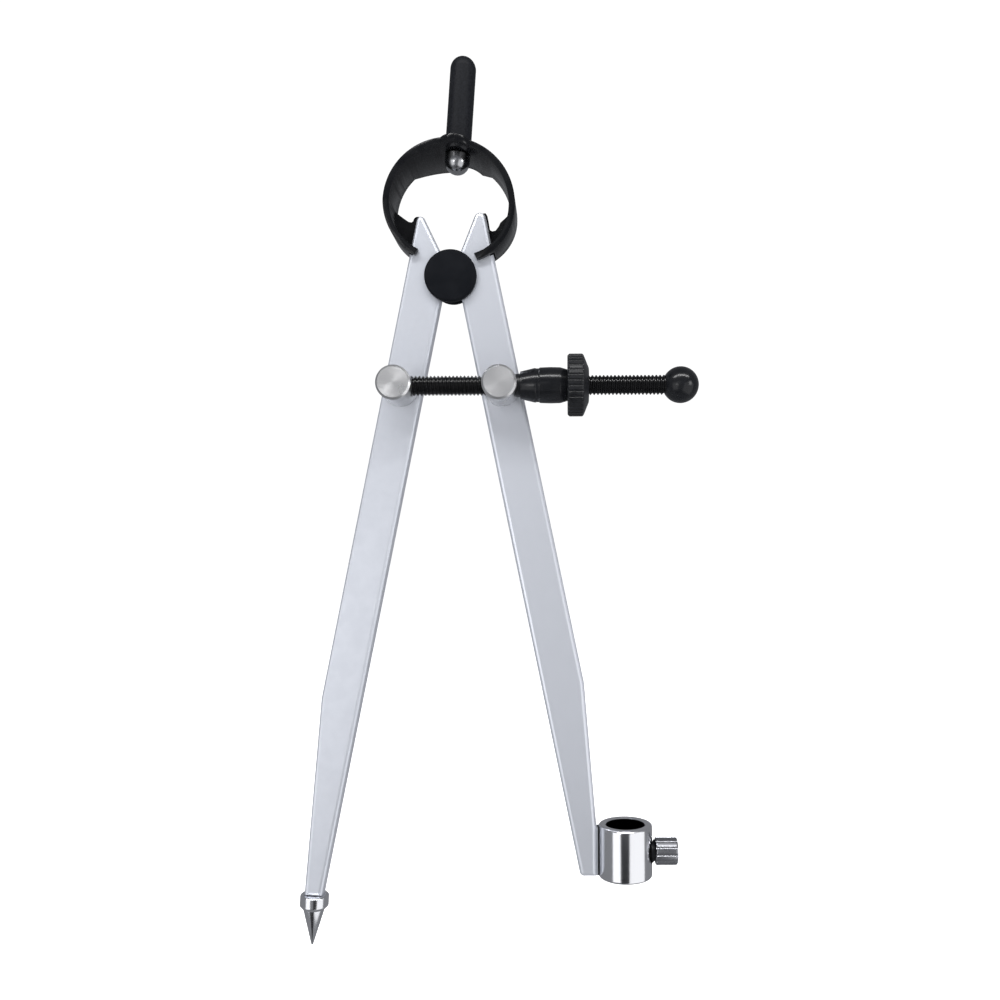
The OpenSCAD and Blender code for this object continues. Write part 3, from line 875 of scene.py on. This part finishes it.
@dataclass
class Bow(Assembly):
    """The spring bow, in two halves, with the handle's stem and its nut.

    Its own heights are above the pivot, and the stem and its nut are measured from its centre.
    From bend_from down to bend_to it is cut into thin slices.
    """

    rise: float = 14.9
    lean: float = 4.0
    stem_offset: float = 0.5
    edge: float = 0.16
    edge_steps: int = 2
    # The solid's vertices nearer than this, in metres, become one
    merge_within: float = 1e-8
    # Faces that meet at less than the first angle become one, and at more than the second are eased
    flat_angle: float = 0.5
    sharp_angle: float = 40.0
    bend_from: float = 26.0
    bend_to: float = 10.0
    slice_step: float = 0.9
    inner_radius: float = 12.9
    outer_radius: float = 14.27
    stem_radius: float = 2.825
    stem_length: float = 19.95
    tenon_radius: float = 1.5
    tenon_length: float = 2.6
    nut_radius: float = 2.76
    nut_wall: float = 1.4
    nut_chamfer: float = 0.1

    def stem_axis(self) -> Axis:
        """The axis of the handle's stem.

        Returns:
            The axis, which starts beside the bow's centre.
        """
        centre = self.pivot("left_leg_pivot") + Vector((0, 0, self.rise * MM))
        upright = Axis.tilted(centre, self.lean)
        return Axis(centre + upright.across * self.stem_offset * MM, upright.along, upright.across)

    def half(self, side: Side) -> bpy.types.Object:
        """One half of the bow, with eased edges and many thin slices.

        Args:
            side: Which half.

        Returns:
            The new object.
        """
        axis, pivot = self.stem_axis(), self.pivot("left_leg_pivot")
        mesh = bmesh.new()
        mesh.from_mesh(self.nodes["bow_spring"].data)
        bmesh.ops.remove_doubles(mesh, verts=mesh.verts, dist=self.merge_within)
        flat, turn = math.radians(self.flat_angle), math.radians(self.sharp_angle)
        bmesh.ops.dissolve_limit(mesh, angle_limit=flat, verts=mesh.verts, edges=mesh.edges)
        bmesh.ops.bevel(
            mesh,
            geom=[e for e in mesh.edges if len(e.link_faces) == 2 and e.calc_face_angle() > turn],
            offset=self.edge * MM,
            segments=self.edge_steps,
            profile=0.5,
            affect="EDGES",
            clamp_overlap=True,
        )
        cut = bmesh.ops.bisect_plane(
            mesh,
            geom=[*mesh.verts, *mesh.edges, *mesh.faces],
            plane_co=axis.origin,
            plane_no=axis.across * -side.outward,
            clear_outer=True,
        )
        rim = [e for e in cut["geom_cut"] if isinstance(e, bmesh.types.BMEdge)]
        bmesh.ops.triangle_fill(mesh, use_beauty=True, edges=rim)
        steps = math.ceil((self.bend_from - self.bend_to) / self.slice_step)
        for k in range(steps + 1):
            height = self.bend_to + (self.bend_from - self.bend_to) * k / steps
            bmesh.ops.bisect_plane(
                mesh,
                geom=[*mesh.verts, *mesh.edges, *mesh.faces],
                plane_co=pivot + Vector((0, 0, height * MM)),
                plane_no=(0, 0, 1),
            )
        return piece(f"bow_{side.name.lower()}_half", mesh, self.sharp_angle)

    def build(self) -> None:
        """Makes the two halves, the stem and the nut under the eye."""
        pivot = self.pivot("left_leg_pivot")
        for side in Side:
            made = self.half(side)
            made.data.materials.append(OXIDE.material())
            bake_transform(made)
            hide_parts("bow_spring")
            log.info("%s bends from the frame to %s", made.name, side.value)
        axis, r = self.stem_axis(), self.stem_radius
        reach = self.nut_radius + self.stem_offset
        seat = math.sqrt(self.inner_radius**2 - reach**2) - PRESS_GAP
        base, top, end = self.outer_radius, self.outer_radius + self.stem_length, seat - self.tenon_length
        dome = [(r * math.cos(a), top - r + r * math.sin(a)) for a in arc(0, 90, DOME_STEPS)]
        stem = [
            (0, end), (self.tenon_radius, end), (self.tenon_radius, base), (r, base), *dome[:-1], (0, top),
        ]
        self.fit(turned("handle", axis, stem), "frame", STEM_BLACK, "handle_stem")
        n, low, bore = self.nut_radius, seat - self.nut_wall, self.tenon_radius + PRESS_GAP
        bowl = [(n * math.cos(a), low - n * math.sin(a)) for a in arc(0, 90, DOME_STEPS)]
        nut = [
            (0, end), (bore, end), (bore, seat), (n - self.nut_chamfer, seat),
            (n, seat - self.nut_chamfer), *bowl[:-1], (0, low - n),
        ]
        self.fit(turned("handle_nut", axis, nut), "frame", NUT_BLACK, "stem_nut")


def arc(start: float, end: float, steps: int) -> list[float]:
    """Evenly spaced angles.

    Args:
        start: The first, in degrees.
        end: The last, in degrees.
        steps: How many gaps there are.

    Returns:
        The angles, in radians.
    """
    return [math.radians(start + (end - start) * k / steps) for k in range(steps + 1)]


@dataclass
class Fulcrum(Assembly):
    """The black cap in front of the legs and the roller that they turn on.

    The cap's front and back are measured from the middle of the legs, towards the back.
    """

    cap_radius: float = 5.7
    cap_front: float = -3.47
    cap_back: float = -2.12
    cap_chamfer: float = 0.3
    shank_radius: float = 1.5
    barrel_radius: float = 4.2
    flange_radius: float = 4.8
    barrel_half: float = 2.1
    flange: float = 1.0

    def build(self) -> None:
        """Turns the cap and the roller about the fulcrum."""
        axis = Axis(self.pivot("left_leg_pivot"), Vector((0, 1, 0)), Vector((1, 0, 0)))
        back, chamfer = self.barrel_half + self.flange, self.cap_chamfer
        cap = [
            (0, self.cap_front), (self.cap_radius - chamfer, self.cap_front),
            (self.cap_radius, self.cap_front + chamfer), (self.cap_radius, self.cap_back),
            (self.shank_radius, self.cap_back), (self.shank_radius, back), (0, back),
        ]
        self.fit(turned("pivot_cap", axis, eased(cap, SOFT_EDGE)), "frame", CAP_BLACK, "fulcrum_cap")
        bore = self.shank_radius + PRESS_GAP
        roller = [
            (bore, -self.barrel_half), (self.barrel_radius, -self.barrel_half),
            (self.barrel_radius, self.barrel_half), (self.flange_radius, self.barrel_half),
            (self.flange_radius, back), (bore, back),
        ]
        ring = turned("pivot_roller", axis, eased(roller, SOFT_EDGE, True), loop=True)
        self.fit(ring, "frame", CAP_BLACK, "fulcrum_roller")


@dataclass
class Adjuster(Assembly):
    """The swivelling posts, the long screw with its ball, and the quick nut.

    Places along the screw are measured from the right post's axis, except the end of the ball's
    hole, ball_bore, which is measured from the ball's centre.
    """

    thread: Thread = Thread(crest=2.1, root=1.76, pitch=0.8)
    ball_radius: float = 3.88
    ball_bore: float = 1.6
    ball_steps: int = 40
    ball_rim: Rim = Rim(plain_steps=96)
    wheel_start: float = 14.32
    wheel_width: float = 3.45
    wheel_left_chamfer: float = 0.4
    wheel_right_chamfer: float = 0.3
    wheel_cone: float = 1.1
    wheel_cone_radius: float = 3.6
    wheel_rim: Rim = Rim(grooves=36, radius=6.6, groove=0.33)
    hub_radius: float = 2.88
    hub_start: float = 8.44
    sleeve_edge: float = 0.1
    # The sleeve's outline, as points of (radius, place along the screw)
    sleeve: tuple[Point, ...] = (
        (2.47, 4.25), (2.9, 4.25), (3.65, 7.45), (3.55, 7.65), (3.55, 8.25), (3.74, 8.45),
        (3.82, 10.625), (3.77, 12.8), (3.32, 14.3), (2.9, 14.3), (2.9, 5.2), (2.47, 5.2),
    )

    def build(self) -> None:
        """Threads the screw and turns the ball, the wheel and the sleeve."""
        for post in ("left_post", "right_post"):
            self.dress(post, faced(f"{post}_steel", self.joints[f"{post}_swivel"]))
            self.dress(f"{post}_washer", TURNED)
        self.dress("front_half_nut", WHEEL)
        self.dress("rear_half_nut", WHEEL)
        self.dress("jaw_ring", TURNED)
        origin = self.pivot("nut_spin")
        origin.x = self.pivot("right_post_swivel").x
        axis = Axis(origin, Vector((1, 0, 0)), Vector((0, 0, -1)))
        low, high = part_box("adjusting_screw")
        start, end = ((x - axis.origin.x) / MM for x in (low.x, high.x))
        rod = self.thread.rod("threaded_rod", axis, start, end)
        self.fit(rod, "left_swivel", SCREW_BLACK, "adjusting_screw")
        self.fit(self.ball(axis), "left_swivel", GLOSS, "ball_knob")
        self.fit(self.wheel(axis), "quick_nut", WHEEL, "nut_wheel")
        outline = eased(self.sleeve, self.sleeve_edge, True)
        cover = turned("quick_nut_sleeve", axis, outline, loop=True)
        self.fit(cover, "quick_nut", GLOSS, "nut_sleeve")

    def ball(self, axis: Axis) -> bpy.types.Object:
        """The ball at the screw's end, with the hole that the screw fills.

        Args:
            axis: The screw's axis.

        Returns:
            The new object.
        """
        r = self.ball_radius
        centre = (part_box("ball_knob")[1].x - axis.origin.x) / MM - r
        bore, end = self.thread.crest + PRESS_GAP, centre + self.ball_bore
        start = math.degrees(math.asin(bore / r))
        shell = [(r * math.sin(a), centre - r * math.cos(a)) for a in arc(start, 180, self.ball_steps)]
        profile = [(0, end), (bore, end), *shell[:-1], (0, centre + r)]
        return turned("ball_end", axis, profile, self.ball_rim)

    def wheel(self, axis: Axis) -> bpy.types.Object:
        """The grooved wheel with its hub on the left and its cone on the right.

        Args:
            axis: The screw's axis.

        Returns:
            The new object.
        """
        bore, r, start = self.thread.crest + SLIDE_GAP, self.wheel_rim.radius, self.wheel_start
        end = start + self.wheel_width
        left, right = self.wheel_left_chamfer, self.wheel_right_chamfer
        profile = [
            (bore, self.hub_start), (self.hub_radius, self.hub_start), (self.hub_radius, start),
            (r - left, start), (r, start + left), (r, end - right), (r - right, end),
            (self.wheel_cone_radius, end + self.wheel_cone), (bore, end + self.wheel_cone),
        ]
        return turned("quick_nut_wheel", axis, eased(profile, SOFT_EDGE, True), self.wheel_rim, True)


@dataclass
class PencilHolder(Assembly):
    """The plated tube for a pencil and the screw that clamps it."""

    thread: Thread = Thread(crest=2.49, root=2.1, pitch=0.8)
    # How far the thread runs on inside the head
    thread_overlap: float = 0.2
    head_length: float = 4.9
    head_chamfer: float = 0.3
    head_rim: Rim = Rim(grooves=12, radius=2.97, groove=0.36)
    # How far from the clamp screw's axis the tube is painted dark, as shade round its hole
    hole_shade_radius: float = 3.1

    def build(self) -> None:
        """Dresses the tube and makes the clamp screw's thread and head."""
        # The tube is painted black inside its bore and round the clamp screw's hole: painted shade.
        low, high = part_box("pencil_tube")
        plated = PaintedShade(
            "plated_tube_painted_shade", "chrome", CHROME.colour, TUBE_PAINTED_SHADE,
            roughness=CHROME.roughness, unevenness=CHROME.unevenness, grain_depth=CHROME.grain_depth,
            centre=tuple((low + high) / 2), hole_mm=self.hole_shade_radius,
        )
        self.dress("pencil_tube", plated)
        low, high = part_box("clamp_screw")
        origin = Vector((low.x, (low.y + high.y) / 2, (low.z + high.z) / 2))
        axis = Axis(origin, Vector((1, 0, 0)), Vector((0, 0, 1)))
        end = (high.x - low.x) / MM
        start = end - self.head_length
        shank = self.thread.rod("clamp_screw_thread", axis, 0, start + self.thread_overlap)
        r, edge = self.head_rim.radius, self.head_chamfer
        profile = [
            (0, start), (r - edge, start), (r, start + edge), (r, end - edge), (r - edge, end), (0, end),
        ]
        # The shank is black steel, unlike the head: painted shade in the gap between the tube and the
        # head.
        self.fit(shank, "clamp", WHEEL, "clamp_screw")
        head = turned("clamp_screw_head", axis, eased(profile, SOFT_EDGE), self.head_rim)
        self.fit(head, "clamp", CLAMP_STEEL, "clamp_screw")


# Studio


@dataclass(frozen=True)
class SoftBox:
    """An even white light, placed by its bearing from the object.

    Attributes:
        name: The light's name.
        bearing: How far round it stands, from the front towards the right.
        height: How far up it stands, as an angle from level.
        distance: How far away it stands.
        size: Its width and height.
        radiance: How bright its surface is.
    """

    name: str
    bearing: float
    height: float
    distance: float
    size: Point
    radiance: float

    def build(self, target: Vector) -> None:
        """Puts the light in the scene.

        Args:
            target: The point that it faces.
        """
        data = bpy.data.lights.new(self.name, "AREA")
        data.shape = "RECTANGLE"
        data.size, data.size_y = self.size
        data.energy = self.radiance * math.pi * self.size[0] * self.size[1]
        light = bpy.data.objects.new(self.name, data)
        bpy.context.scene.collection.objects.link(light)
        b, h = math.radians(self.bearing), math.radians(self.height)
        way = Vector((math.sin(b) * math.cos(h), -math.cos(b) * math.cos(h), math.sin(h)))
        light.location = target + way * self.distance
        light.rotation_euler = (-way).to_track_quat("-Z", "Y").to_euler()
        light.visible_camera = False


@dataclass
class Studio:
    """The camera, the lights, the pale floor and the dark cards."""

    eye: Vector = field(default_factory=lambda: Vector((0.056172, -0.2, 0.086741)))
    roll: float = 0.25
    # The lens and the sensor's width are in millimetres
    lens: float = 32.62
    sensor_width: float = 36.0
    # How far the picture is shifted, in widths of the frame
    shift: Point = (-0.065, 0.05)
    clip: Point = (0.01, 50.0)
    target: Vector = field(default_factory=lambda: Vector((0.04, 0.0, 0.09)))
    # How far the floor lies below the resting tip, which swings down by a little less
    floor_drop: float = 0.0035
    floor_size: Point = (12.0, 12.0)
    floor_glow: float = 0.68
    floor_colour: Colour = (0.95, 0.95, 0.95)
    sheet_roughness: float = 0.9
    # The surround's colour, how bright it is to the object and in reflections, and how bright the
    # white is that the camera sees instead
    surround: Colour = (0.93, 0.95, 1.0)
    surround_light: float = 0.5
    surround_mirrored: float = 0.25
    surround_seen: float = 1.05
    # How far in front of the object the cards stand
    card_front: float = 0.15
    card_colour: Colour = (0.02, 0.02, 0.022)
    # Each dark card's name, its middle across and up, and its size
    cards: tuple[tuple[str, Point, Point], ...] = (
        ("dark_card", (0.055, -0.0575), (0.09, 0.085)),
        ("low_dark_card", (-0.035, -0.19), (0.13, 0.19)),
    )
    # Each light's name, bearing, height, distance, size and radiance
    lights: tuple[SoftBox, ...] = (
        SoftBox("left_box", -40, -14, 1.0, (0.58, 0.8), 1.06),
        SoftBox("right_box", 51, -22, 1.0, (1.25, 1.15), 0.9),
        SoftBox("left_spot", -25, -5, 1.0, (0.18, 0.18), 5.4),
        SoftBox("right_spot", 58, 6, 1.0, (0.3, 0.3), 6.0),
        SoftBox("upper_box", -12, 9, 1.0, (0.34, 0.2), 0.6),
        SoftBox("top_strip", 0, 54, 0.9, (1.6, 0.09), 26.0),
    )

    def build(self) -> None:
        """Makes the camera, the lights, the floor, the cards and the world."""
        self.camera()
        for light in self.lights:
            light.build(self.target)
        self.floor()
        for name, middle, size in self.cards:
            self.card(name, middle, size)
        self.world()

    def camera(self) -> None:
        """Stands the camera where the photograph was taken from."""
        data = bpy.data.cameras.new("camera")
        data.lens = self.lens
        data.sensor_width = self.sensor_width
        data.shift_x, data.shift_y = self.shift
        data.clip_start, data.clip_end = self.clip
        camera = bpy.data.objects.new("camera", data)
        bpy.context.scene.collection.objects.link(camera)
        a = math.radians(self.roll)
        right, up = Vector((math.cos(a), 0, -math.sin(a))), Vector((math.sin(a), 0, math.cos(a)))
        turn = Matrix((right, up, right.cross(up))).transposed().to_4x4()
        camera.matrix_world = Matrix.Translation(self.eye) @ turn
        bpy.context.scene.camera = camera

    def sheet(
        self, name: str, size: Point, place: Matrix, glow: float, colour: Colour
    ) -> bpy.types.Object:
        """A flat sheet of the set.

        Args:
            name: The sheet's name.
            size: Its two sides.
            place: Where it lies.
            glow: How much light it gives by itself.
            colour: Its colour.

        Returns:
            The sheet, marked as part of the set.
        """
        mesh = bmesh.new()
        # The grid reaches half a metre each way, so that its sides are 1 before the sizes apply
        bmesh.ops.create_grid(mesh, x_segments=1, y_segments=1, size=0.5)
        bmesh.ops.transform(mesh, matrix=place @ Matrix.Diagonal((*size, 1, 1)), verts=mesh.verts)
        data = bpy.data.meshes.new(name)
        mesh.to_mesh(data)
        mesh.free()
        made = bpy.data.objects.new(name, data)
        bpy.context.scene.collection.objects.link(made)
        material = bpy.data.materials.new(name)
        material.use_nodes = True
        shader = Shader(material.node_tree)
        surface = shader.out(
            "ShaderNodeBsdfPrincipled",
            {},
            {
                "Base Color": (*colour, 1.0),
                "Roughness": self.sheet_roughness,
                "Emission Color": (*colour, 1.0),
                "Emission Strength": glow,
            },
        )
        shader.add("ShaderNodeOutputMaterial", {}, {"Surface": surface})
        data.materials.append(material)
        return made

    def floor(self) -> None:
        """The pale floor, which isn't seen in reflections and casts no shadow."""
        place = Matrix.Translation((0, 0, -self.floor_drop))
        made = self.sheet("floor", self.floor_size, place, self.floor_glow, self.floor_colour)
        made.visible_glossy = False
        made.visible_shadow = False

    def card(self, name: str, middle: Point, size: Point) -> None:
        """A dark gap between the lights, which is seen only in reflections.

        Args:
            name: The card's name.
            middle: Its middle, across and up.
            size: Its width and height.
        """
        place = Matrix.Translation((middle[0], -self.card_front, middle[1]))
        place @= Matrix.Rotation(math.radians(90), 4, "X")
        made = self.sheet(name, size, place, 0.0, self.card_colour)
        made.visible_camera = False
        made.visible_shadow = False
        made.visible_diffuse = False

    def world(self) -> None:
        """A white surround for the camera, a dimmer one for the object and the dimmest in reflections."""
        world = bpy.data.worlds.new("surround")
        world.use_nodes = True
        bpy.context.scene.world = world
        shader = Shader(world.node_tree)
        seen = shader.out("ShaderNodeLightPath", socket="Is Camera Ray")
        mirrored = shader.out("ShaderNodeLightPath", socket="Is Glossy Ray")
        dim, dark, white = (
            shader.out("ShaderNodeBackground", {}, {"Color": (*colour, 1.0), "Strength": strength})
            for colour, strength in (
                (self.surround, self.surround_light),
                (self.surround, self.surround_mirrored),
                (WHITE, self.surround_seen),
            )
        )
        around = shader.out("ShaderNodeMixShader", {}, {0: mirrored, 1: dim, 2: dark})
        mixed = shader.out("ShaderNodeMixShader", {}, {0: seen, 1: around, 2: white})
        shader.add("ShaderNodeOutputWorld", {}, {"Surface": mixed})
        bpy.context.scene.view_settings.view_transform = "Standard"


def main() -> None:
    """Loads the frame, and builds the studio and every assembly."""
    logging.basicConfig(level=logging.INFO, format="%(name)s: %(message)s")
    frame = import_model()
    Studio().build()
    joints = {joint["name"]: joint for joint in frame["joints"]}
    for kind in (Legs, Bow, Fulcrum, Adjuster, PencilHolder):
        kind(frame["nodes"], joints).build()


if __name__ == "__main__":
    main()
